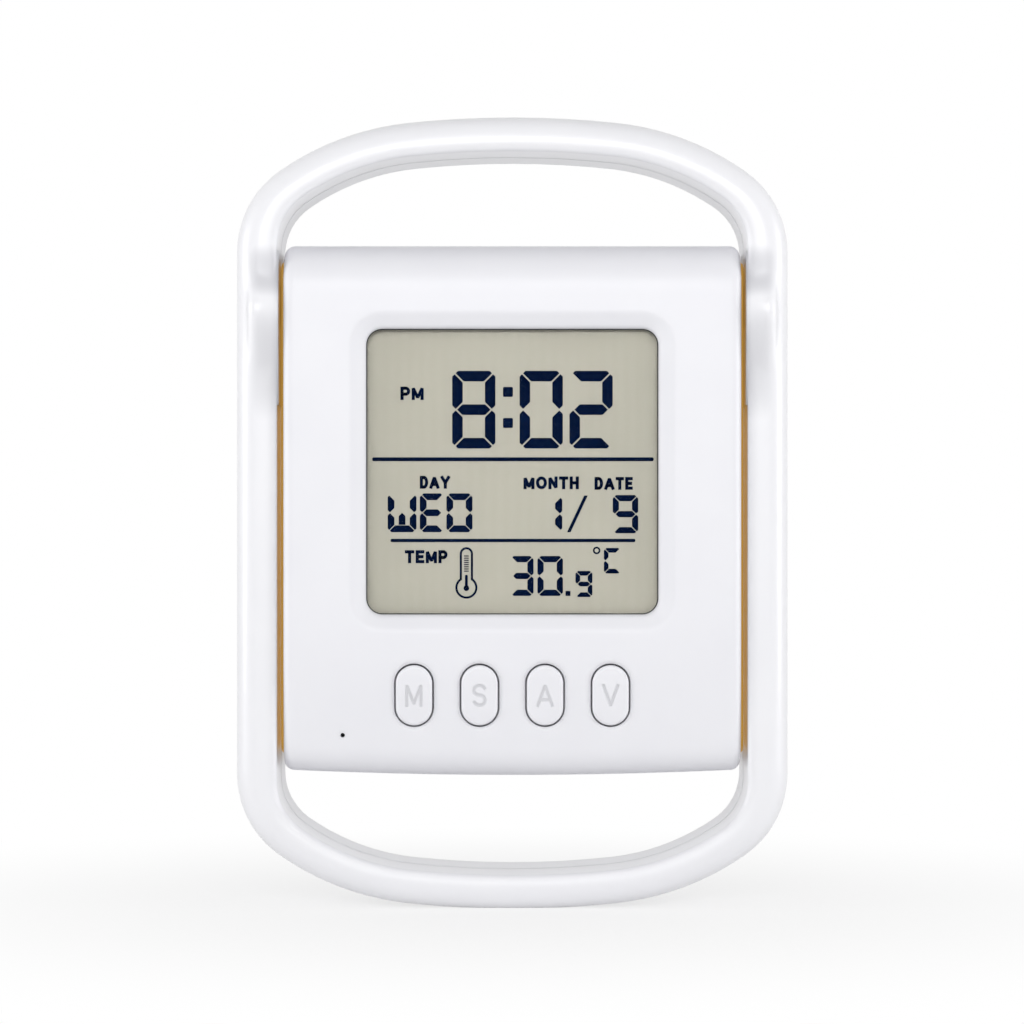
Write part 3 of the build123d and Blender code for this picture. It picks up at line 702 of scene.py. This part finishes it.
@dataclass
class Plates:
    """Thin plates that lie on an upright plane and face the viewer, gathered into one mesh. Millimetres."""

    centre: Point
    back: float
    thickness: float

    def __post_init__(self) -> None:
        """Start with an empty mesh."""
        self.bm = bmesh.new()

    def corner(self, point: Point, lift: float) -> bmesh.types.BMVert:
        """Add a vertex.

        Args:
            point: Its place on the plane, from the centre.
            lift: How far it stands off the plane, towards the viewer.

        Returns:
            The vertex.
        """
        x, z = point
        place = Vector((self.centre[0] + x, self.back - lift, self.centre[1] + z))
        return self.bm.verts.new(place * MM)

    def plate(self, outline: Outline) -> None:
        """Add a closed plate of one outline.

        Args:
            outline: Its points, all one way round.
        """
        front = [self.corner(point, self.thickness) for point in outline]
        rear = [self.corner(point, 0) for point in outline]
        self.bm.faces.new(front)
        self.bm.faces.new(list(reversed(rear)))
        for i, vertex in enumerate(front):
            self.bm.faces.new((front[i - 1], rear[i - 1], rear[i], vertex))

    def band(self, outer: Outline, inner: Outline) -> None:
        """Add a closed band between two outlines of as many points.

        Args:
            outer: The outer outline.
            inner: The inner outline.
        """
        runs = ((outer, self.thickness), (outer, 0), (inner, 0), (inner, self.thickness))
        rings = [[self.corner(point, lift) for point in outline] for outline, lift in runs]
        for near, far in zip(rings, rings[1:] + rings[:1]):
            for i in range(len(near)):
                self.bm.faces.new((near[i - 1], far[i - 1], far[i], near[i]))

    def word(self, text: str, left: float, right: float, low: float, high: float, stroke: float) -> None:
        """Add a word of even strokes that fills a box.

        Args:
            text: The word, in capitals.
            left: Left edge of the box.
            right: Right edge.
            low: Lower edge.
            high: Upper edge.
            stroke: Width of the strokes.
        """
        shares = [StrokeLetter.WIDTHS[letter] for letter in text]
        unit = (right - left) / (sum(shares) + StrokeLetter.SPACE * (len(text) - 1))
        for letter, share in zip(text, shares):
            shape = StrokeLetter(letter, left, low, share * unit, high - low, stroke)
            for outline in shape.outlines():
                self.plate(outline)
            for outer, inner in shape.rings():
                self.band(outer, inner)
            left += (share + StrokeLetter.SPACE) * unit

    def mesh(self, name: str) -> bpy.types.Mesh:
        """Turn the plates into a mesh with outward faces.

        Args:
            name: Name of the mesh.

        Returns:
            The mesh.
        """
        bmesh.ops.recalc_face_normals(self.bm, faces=self.bm.faces)
        mesh = bpy.data.meshes.new(name)
        self.bm.to_mesh(mesh)
        self.bm.free()
        return mesh

    def finish(self, name: str, finish: Finish, body: Body, slot: Slot) -> None:
        """Turn the plates into a piece.

        Args:
            name: Name of the piece.
            finish: Its finish.
            body: The body that it moves with.
            slot: Its material slot; not used.
        """
        mesh = self.mesh(name)
        mesh.materials.append(finish.material())
        new_piece(name, mesh, body)


@dataclass(frozen=True)
class SegmentFigure:
    """A figure of a segment display, given by its box around the window's centre. Millimetres."""

    character: str
    left: float
    top: float
    width: float
    height: float
    stroke: float
    gap: float

    LIT: ClassVar[dict[str, str]] = {
        "0": "abcdef", "1": "bc", "2": "abdeg", "3": "abcdg", "8": "abcdefg", "9": "abcdfg",
        "C": "adef", "D": "abcdef", "E": "adefg", "W": "bcdefm",
    }
    # Shares of the stroke that the corners and the tips lose, and of the gap beside the middle bar
    CHAMFER_SHARE: ClassVar[float] = 0.55
    TIP_SHARE: ClassVar[float] = 0.34
    BAR_GAP_SHARE: ClassVar[float] = 0.9

    def across(self, outline: Outline) -> Outline:
        """An outline mirrored to the figure's other side."""
        return [(self.width - x, z) for x, z in outline]

    def over(self, outline: Outline) -> Outline:
        """An outline mirrored from the figure's upper half to its lower half."""
        return [(x, self.height - z) for x, z in outline]

    def segments(self) -> dict[str, Outline]:
        """Shape all segments.

        Returns:
            Outlines by the segment's letter, from the figure's upper left corner with z downwards.
        """
        stroke = self.stroke
        stem = stroke / 2
        centre, half = self.width / 2, self.height / 2
        gap = self.gap / math.sqrt(2)
        chamfer = stroke * self.CHAMFER_SHARE
        tip = stroke * self.TIP_SHARE
        near, far = (chamfer - gap) / 2, (chamfer + gap) / 2
        top = [(chamfer, 0), (far, near), (stroke + gap, stroke)]
        top += self.across(top)[::-1]
        rest = half - self.gap / 2
        left = [
            (0, chamfer), (near, far), (stroke, stroke + gap),
            (stroke, rest - stroke + tip), (tip, rest), (0, rest - tip),
        ]
        reach = tip + self.gap * self.BAR_GAP_SHARE
        bar = [(reach + stem, half + stem), (reach, half), (reach + stem, half - stem)]
        bar += self.across(bar)[::-1]
        foot = self.height - stroke - gap
        post = [
            (centre, half), (centre + stem, half + stem), (centre + stem, foot),
            (centre - stem, foot), (centre - stem, half + stem),
        ]
        return {
            "a": top, "d": self.over(top), "f": left, "e": self.over(left),
            "b": self.across(left), "c": self.over(self.across(left)), "g": bar, "m": post,
        }

    def outlines(self) -> list[Outline]:
        """Outlines of the lit segments around the window's centre, z upwards."""
        found = self.segments()
        return [
            [(self.left + x, self.top - z) for x, z in found[letter]]
            for letter in self.LIT[self.character]
        ]


@dataclass(frozen=True)
class ThermometerSign:
    """The thermometer on the display, around the window's centre. Millimetres."""

    bulb: Point = (-8.5, -20.9)
    bulb_radius: float = 2.0
    stem_half: float = 1.2
    top: float = -13.6
    line: float = 0.4
    tick_count: int = 8
    tick_top: float = -15.2
    tick_pitch: float = 0.39
    tick_half: tuple[float, float] = (0.42, 0.1)
    tick_corner: float = 0.03
    thread_half: float = 0.26
    thread_top: float = -18.6
    thread_corner: float = 0.2
    drop_radius: float = 0.52
    drop_sag: float = 0.1

    STEM_STEPS: ClassVar[int] = 12
    BULB_STEPS: ClassVar[int] = 36

    def outline(self, inset: float) -> Outline:
        """Outline of the bulb under its round-topped stem.

        Args:
            inset: Distance by which it is drawn in.

        Returns:
            The points, anticlockwise.
        """
        radius, half, top = self.bulb_radius - inset, self.stem_half - inset, self.top - inset
        shoulder = math.degrees(math.acos(half / radius))
        stem = arc((self.bulb[0], top - half), half, 0, 180, self.STEM_STEPS)
        return stem + arc(self.bulb, radius, 180 - shoulder, 360 + shoulder, self.BULB_STEPS)

    def draw(self, layer: Plates) -> None:
        """Add the glass, its ticks, the thread and the drop to a layer.

        Args:
            layer: The layer of plates that gets them.
        """
        x, low = self.bulb[0], self.bulb[1] - self.drop_sag
        layer.band(self.outline(0), self.outline(self.line))
        wide, tall = self.tick_half
        for tick in range(self.tick_count):
            z = self.tick_top - tick * self.tick_pitch
            layer.plate(rounded_box(x - wide, x + wide, z - tall, z + tall, self.tick_corner))
        thread = rounded_box(
            x - self.thread_half, x + self.thread_half, low, self.thread_top, self.thread_corner
        )
        layer.plate(thread)
        layer.plate(round_dot((x, low), self.drop_radius))


@dataclass
class Display:
    """The window: clear lens, grey film and everything that the display shows. Millimetres."""

    lens_overlap: float = 1.9
    window_corner: float = 2.9
    edge_line: float = 0.2
    edge_inset: float = 0.01
    edge_thickness: float = 0.02
    ink_thickness: float = 0.05
    label_stroke: float = 0.58
    print_shift: float = 0.22

    # Character, left edge, top, width, height, stroke and gap of each figure
    FIGURES: ClassVar[dict[str, list[SegmentFigure]]] = {
        "lcd_time": [
            SegmentFigure("8", -11.06, 18.2, 7.8, 14.0, 1.9, 0.26),
            SegmentFigure("0", 1.1, 18.2, 7.8, 14.0, 1.9, 0.26),
            SegmentFigure("2", 10.1, 18.2, 7.8, 14.0, 1.9, 0.26),
        ],
        "lcd_weekday": [
            SegmentFigure("W", -22.7, -3.9, 5.2, 7.0, 1.22, 0.14),
            SegmentFigure("E", -16.9, -3.9, 4.4, 7.0, 1.22, 0.14),
            SegmentFigure("D", -12.1, -3.9, 4.7, 7.0, 1.22, 0.14),
        ],
        "lcd_date": [
            SegmentFigure("1", 4.2, -4.3, 4.6, 6.6, 1.3, 0.14),
            SegmentFigure("9", 17.9, -4.2, 4.6, 6.9, 1.12, 0.14),
        ],
        "lcd_temperature": [
            SegmentFigure("3", -0.58, -15.2, 4.2, 7.2, 1.12, 0.14),
            SegmentFigure("0", 4.32, -15.2, 4.6, 7.2, 1.12, 0.14),
            SegmentFigure("9", 11.18, -17.9, 3.05, 4.7, 0.84, 0.11),
            SegmentFigure("C", 16.3, -13.75, 3.05, 4.6, 0.84, 0.11),
        ],
    }
    # The colon, the stroke of the date and the decimal point
    SIGNS: ClassVar[dict[str, list[Outline]]] = {
        "lcd_time": [rounded_box(-1.9, -0.1, low, low + 1.8, 0.25) for low in (13.5, 7.9)],
        "lcd_date": [[(9.65, -10.9), (10.3, -10.9), (13.4, -4.3), (12.75, -4.3)]],
        "lcd_temperature": [rounded_box(9.38, 10.28, -22.4, -21.5, 0.1)],
    }
    # The degree sign
    RINGS: ClassVar[dict[str, list[tuple[Outline, Outline]]]] = {
        "lcd_temperature": [(round_dot((15.0, -14.2), 0.68), round_dot((15.0, -14.2), 0.36))],
    }
    # Left, right, lower and upper edges of the words
    LABELS: ClassVar[dict[str, tuple[float, float, float, float]]] = {
        "PM": (-20.4, -16.2, 12.95, 15.35),
        "DAY": (-16.9, -11.45, -3.05, -0.75),
        "MONTH": (1.8, 11.8, -3.15, -0.85),
        "DATE": (14.62, 21.52, -3.25, -0.95),
        "TEMP": (-19.6, -11.9, -16.5, -14.15),
    }
    RULES: ClassVar[list[Outline]] = [
        rounded_box(-25.5, 25.3, 1.9, 2.6, 0.3),
        rounded_box(-22.2, 22.0, -12.7, -12.1, 0.28),
    ]

    def __post_init__(self) -> None:
        """Read the window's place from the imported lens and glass."""
        low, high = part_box("display_lens")
        self.centre = ((low.x + high.x) / 2 / MM, (low.z + high.z) / 2 / MM)
        self.half_width = (high.x - low.x) / 2 / MM - self.lens_overlap
        self.half_height = (high.z - low.z) / 2 / MM - self.lens_overlap
        self.lens_front = low.y / MM
        self.film_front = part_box("lcd_panel")[0].y / MM

    def sheet(self) -> Plates:
        """An empty layer on the display film, whose print sits a little to the right of the window."""
        centre = (self.centre[0] + self.print_shift, self.centre[1])
        return Plates(centre, self.film_front, self.ink_thickness)

    def ink(self, name: str, layer: Plates) -> None:
        """Turn a layer into a dark piece of the display.

        Args:
            name: Name of the piece.
            layer: Its plates.
        """
        layer.finish(name, LCD_SEGMENT, Body.CLOCK, Slot.INK)

    def figures(self) -> None:
        """Time, weekday, date and temperature in segments, with their signs."""
        for name, figures in self.FIGURES.items():
            layer = self.sheet()
            lit = [outline for figure in figures for outline in figure.outlines()]
            for outline in lit + self.SIGNS.get(name, []):
                layer.plate(outline)
            for outer, inner in self.RINGS.get(name, []):
                layer.band(outer, inner)
            self.ink(name, layer)

    def labels(self) -> None:
        """Words over the figures and the rules between the rows."""
        words = self.sheet()
        for text, box in self.LABELS.items():
            words.word(text, *box, self.label_stroke)
        self.ink("lcd_labels", words)
        rules = self.sheet()
        for rule in self.RULES:
            rules.plate(rule)
        self.ink("lcd_rules", rules)

    def thermometer(self) -> None:
        """The thermometer sign."""
        layer = self.sheet()
        ThermometerSign().draw(layer)
        self.ink("lcd_thermometer", layer)

    def edge(self) -> None:
        """A thin black ring round the lens: painted shade where the window's edge shades the display."""
        ring = Plates(self.centre, self.lens_front, self.edge_thickness)
        outlines = []
        for inset in (self.edge_inset, self.edge_line):
            wide, tall = self.half_width - inset, self.half_height - inset
            outlines.append(rounded_box(-wide, wide, -tall, tall, self.window_corner - inset))
        ring.band(*outlines)
        # The black ring is painted shade along the window's edge
        ring.finish("lens_painted_shade_line", BLACK_ABS, Body.CLOCK, Slot.INK)

    def build(self) -> None:
        """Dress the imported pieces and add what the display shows."""
        dress(CLEAR_ACRYLIC, "display_lens")
        dress(LCD_FILM, "lcd_panel")
        dress(BLACK_ABS, "lcd_holder")
        dress(GREY_RUBBER, "zebra_strip")
        self.figures()
        self.labels()
        self.thermometer()
        self.edge()


@dataclass
class Keys:
    """The four oval keys with a letter engraved in each. Millimetres and degrees."""

    letter_height: float = 4.0
    engraving: float = 0.22
    letter_stroke: float = 0.45
    weld_gap: float = 0.0001
    sharp_angle: float = 32.0
    sight_start: float = -1000.0

    LETTERS: ClassVar[dict[Body, tuple[str, float]]] = {
        Body.MODE: ("M", 3.0),
        Body.SET: ("S", 2.45),
        Body.UP: ("A", 3.0),
        Body.DOWN: ("V", 3.0),
    }

    def surface(self, node: bpy.types.Object, x: float, z: float) -> Vector:
        """Find a point of a key's front.

        Args:
            node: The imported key.
            x: Where the point lies across, in metres.
            z: Its height, in metres.

        Returns:
            The point, in metres.
        """
        hit, spot, _, _ = node.ray_cast(Vector((x, self.sight_start * MM, z)), Vector((0.0, 1.0, 0.0)))
        if not hit:
            raise ValueError(f"{node.name} isn't in front at {x}, {z}")
        return spot

    def cutter(self, node: bpy.types.Object, letter: str, width: float) -> bpy.types.Object:
        """A letter that reaches into the key's front by the depth of the engraving.

        Args:
            node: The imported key.
            letter: Its letter.
            width: The letter's width.

        Returns:
            The cutting object, which isn't shown.
        """
        low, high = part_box(node.name)
        x, z = (low.x + high.x) / 2, (low.z + high.z) / 2
        reach = self.letter_height * MM / 2
        upper = self.surface(node, x, z + reach)
        lower = self.surface(node, x, z - reach)
        upright = (upper - lower).normalized()
        across = Vector((1.0, 0.0, 0.0))
        outwards = across.cross(upright)
        tall = self.letter_height
        shape = StrokeLetter(letter, -width / 2, -tall / 2, width, tall, self.letter_stroke)
        plates = Plates((0.0, 0.0), self.engraving, 2 * self.engraving)
        for outline in shape.outlines():
            plates.plate(outline)
        mesh = plates.mesh(f"cutter_{letter}")
        turn = Matrix((across, -outwards, upright)).transposed().to_4x4()
        mesh.transform(Matrix.Translation((upper + lower) / 2) @ turn)
        mesh.materials.append(KEY_ABS.material())
        # The letters' cut faces take the painted shade of the engraving
        mesh.materials.append(LETTER_PAINTED_SHADE.material())
        for polygon in mesh.polygons:
            polygon.material_index = 1
        cutter = bpy.data.objects.new(f"cutter_{letter}", mesh)
        bpy.context.scene.collection.objects.link(cutter)
        return cutter

    def blank(self, node: bpy.types.Object) -> bpy.types.Object:
        """A copy of a packed key whose faces are joined, ready to be cut.

        Args:
            node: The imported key.

        Returns:
            The copy.
        """
        mesh = node.data.copy()
        # A slot for the painted shade in the engraved letter
        mesh.materials.append(LETTER_PAINTED_SHADE.material())
        normals = mesh.attributes.get("custom_normal")
        if normals is not None:
            mesh.attributes.remove(normals)
        weld = bmesh.new()
        weld.from_mesh(mesh)
        bmesh.ops.remove_doubles(weld, verts=weld.verts, dist=self.weld_gap * MM)
        weld.to_mesh(mesh)
        weld.free()
        blank = bpy.data.objects.new("key_blank", mesh)
        bpy.context.scene.collection.objects.link(blank)
        return blank

    def engraved(self, node: bpy.types.Object, letter: str, width: float) -> bpy.types.Mesh:
        """Mesh of a key with its letter cut in.

        Args:
            node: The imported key.
            letter: Its letter.
            width: The letter's width.

        Returns:
            The new mesh.
        """
        cutter, blank = self.cutter(node, letter, width), self.blank(node)
        cut = blank.modifiers.new("engraving", "BOOLEAN")
        cut.object = cutter
        cut.solver = "EXACT"
        cut.use_self = True
        bpy.context.view_layer.update()
        graph = bpy.context.evaluated_depsgraph_get()
        mesh = bpy.data.meshes.new_from_object(blank.evaluated_get(graph))
        bpy.data.objects.remove(blank)
        bpy.data.objects.remove(cutter)
        mesh.polygons.foreach_set("use_smooth", [True] * len(mesh.polygons))
        mesh.set_sharp_from_angle(angle=math.radians(self.sharp_angle))
        return mesh

    def build(self) -> None:
        """Cut each letter into a copy of its key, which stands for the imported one."""
        for body, (letter, width) in self.LETTERS.items():
            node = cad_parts[body.value]
            dress(KEY_ABS, node.name)
            mesh = self.engraved(node, letter, width)
            key = new_piece(f"{body.value}_key", mesh, body)
            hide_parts(node.name)


@dataclass
class Stand:
    """The hoop with its bushes and screws."""

    def build(self) -> None:
        """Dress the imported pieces."""
        # The hoop's gloss finish carries painted shade on the ramps beside the pivots
        dress(GLOSS_ABS, "hoop_front", "hoop_rear")
        dress(NATURAL_NYLON, "hub_bush_left", "hub_bush_right")
        dress(NICKEL_STEEL, "hoop_screws")


@dataclass
class ClockBody:
    """The shells, cheeks, pivots and everything sealed inside."""

    def build(self) -> None:
        """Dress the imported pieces."""
        dress(SATIN_ABS, "front_shell", "rear_cover", "battery_door")
        # The cheeks' glow is painted light
        dress(AMBER_ACRYLIC, "side_cheek_left", "side_cheek_right")
        dress(NICKEL_STEEL, "pivot_pin_left", "pivot_pin_right", "clock_crystal")
        dress(NICKEL_STEEL, "case_screws", "board_screws")
        dress(NICKEL_STEEL, "battery_contact_plus", "battery_contact_minus", "battery_contact_link")
        dress(GREY_RUBBER, "friction_collar_left", "friction_collar_right")
        dress(SOLDER_MASK, "circuit_board")
        dress(BLACK_ABS, "controller_chip", "buzzer", "temperature_sensor", "tact_switches")
        dress(sleeve(1), "battery_cell_upper")
        dress(sleeve(-1), "battery_cell_lower")


@dataclass(frozen=True)
class SoftBox:
    """A soft lamp that looks at the clock. Places and sizes are in metres, power in watts."""

    name: str
    place: Place
    width: float
    height: float
    power: float

    def build(self, target: Vector) -> None:
        """Hang the lamp and turn it to its target.

        Args:
            target: The point that it looks at.
        """
        lamp = bpy.data.lights.new(self.name, "AREA")
        lamp.shape = "RECTANGLE"
        lamp.size, lamp.size_y = self.width, self.height
        lamp.energy = self.power
        holder = bpy.data.objects.new(self.name, lamp)
        holder.location = self.place
        holder.rotation_euler = (target - Vector(self.place)).to_track_quat("-Z", "Y").to_euler()
        holder.visible_camera = False
        bpy.context.scene.collection.objects.link(holder)


@dataclass
class Studio:
    """White floor and surroundings, soft lamps and the camera. Metres, and millimetres in the camera."""

    floor_radius: float = 2.0
    floor_sides: int = 64
    floor_colour: str = "#F4F4F4"
    shadow_radius: float = 0.16
    shadow_share: float = 0.3
    ambient: float = 0.42
    camera_place: Place = (-0.00005, -0.647, 0.07146)
    focal_length: float = 124.0
    sensor_width: float = 36.0
    clip_range: tuple[float, float] = (0.01, 20.0)

    WHITE: ClassVar[str] = "#FFFFFF"
    LAMPS: ClassVar[tuple[SoftBox, ...]] = (
        SoftBox("front_softbox", (0.0, -0.95, 0.32), 0.6, 0.22, 3.75),
        SoftBox("left_softbox", (-0.78, -0.16, 0.09), 0.3, 0.5, 2.4),
        SoftBox("right_softbox", (0.78, -0.16, 0.09), 0.3, 0.5, 2.4),
    )

    def floor(self) -> None:
        """A round white floor that keeps the clock's shadow and is plain white further out."""
        mesh = bpy.data.meshes.new("studio_floor")
        bm = bmesh.new()
        bmesh.ops.create_circle(bm, cap_ends=True, segments=self.floor_sides, radius=self.floor_radius)
        bm.to_mesh(mesh)
        bm.free()
        floor = bpy.data.objects.new("studio_floor", mesh)
        bpy.context.scene.collection.objects.link(floor)
        made = bpy.data.materials.new("studio_white_floor")
        made.use_nodes = True
        tree = made.node_tree
        tree.nodes.clear()
        place = add_node(tree, "ShaderNodeTexCoord", {}).outputs["Object"]
        away = add_node(tree, "ShaderNodeVectorMath", {0: place}, operation="LENGTH")
        plain = add_node(
            tree,
            "ShaderNodeMapRange",
            {
                "Value": away.outputs["Value"],
                "From Max": self.shadow_radius,
                "To Min": 1 - self.shadow_share,
                "To Max": 1.0,
            },
            interpolation_type="SMOOTHSTEP",
        )
        seen = self.seen(tree)
        share = add_node(
            tree, "ShaderNodeMath", {0: seen, 1: plain.outputs["Result"]}, operation="MULTIPLY"
        )
        matt = add_node(tree, "ShaderNodeBsdfDiffuse", {"Color": linear(self.floor_colour)})
        white = add_node(tree, "ShaderNodeEmission", {"Strength": 1.0})
        mixed = add_node(
            tree,
            "ShaderNodeMixShader",
            {0: share.outputs["Value"], 1: matt.outputs["BSDF"], 2: white.outputs["Emission"]},
        )
        add_node(tree, "ShaderNodeOutputMaterial", {"Surface": mixed.outputs["Shader"]})
        mesh.materials.append(made)

    @staticmethod
    def seen(tree: bpy.types.NodeTree) -> bpy.types.NodeSocket:
        """Tell the rays that show the white surroundings from those that light matt surfaces.

        Args:
            tree: The node tree that asks.

        Returns:
            A socket with 1 for rays from the camera, from gloss and through glass, and 0 for others.
        """
        path = add_node(tree, "ShaderNodeLightPath", {}).outputs
        gloss = add_node(
            tree,
            "ShaderNodeMath",
            {0: path["Is Camera Ray"], 1: path["Is Glossy Ray"]},
            operation="MAXIMUM",
        )
        glass = add_node(
            tree,
            "ShaderNodeMath",
            {0: gloss.outputs["Value"], 1: path["Is Transmission Ray"]},
            operation="MAXIMUM",
        )
        return glass.outputs["Value"]

    def surroundings(self) -> None:
        """White all round, with a gentler light on matt surfaces."""
        world = bpy.data.worlds.new("studio_white")
        world.use_nodes = True
        tree = world.node_tree
        tree.nodes.clear()
        colour = linear(self.WHITE)
        soft = add_node(tree, "ShaderNodeBackground", {"Color": colour, "Strength": self.ambient})
        white = add_node(tree, "ShaderNodeBackground", {"Color": colour, "Strength": 1.0})
        mixed = add_node(
            tree,
            "ShaderNodeMixShader",
            {0: self.seen(tree), 1: soft.outputs["Background"], 2: white.outputs["Background"]},
        )
        add_node(tree, "ShaderNodeOutputWorld", {"Surface": mixed.outputs["Shader"]})
        bpy.context.scene.world = world

    def camera(self) -> None:
        """The camera, straight in front of the hoop."""
        data = bpy.data.cameras.new("camera")
        data.lens = self.focal_length
        data.sensor_width = self.sensor_width
        data.clip_start, data.clip_end = self.clip_range
        camera = bpy.data.objects.new("camera", data)
        camera.location = self.camera_place
        camera.rotation_euler = (math.pi / 2, 0.0, 0.0)
        bpy.context.scene.collection.objects.link(camera)
        bpy.context.scene.camera = camera

    def build(self) -> None:
        """Set up the studio."""
        bpy.context.scene.view_settings.view_transform = "Standard"
        low, high = cad_box
        target = (low + high) / 2
        self.floor()
        self.surroundings()
        self.camera()
        for lamp in self.LAMPS:
            lamp.build(target)
            log.info("%s: lamp of %.1f W", lamp.name, lamp.power)


def main() -> None:
    """Build the clock's looks in order."""
    logging.basicConfig(level=logging.INFO, format="%(message)s")
    for part in (Stand(), ClockBody(), Display(), Keys(), Studio()):
        part.build()
        log.info("%s done", type(part).__name__)


if __name__ == "__main__":
    main()
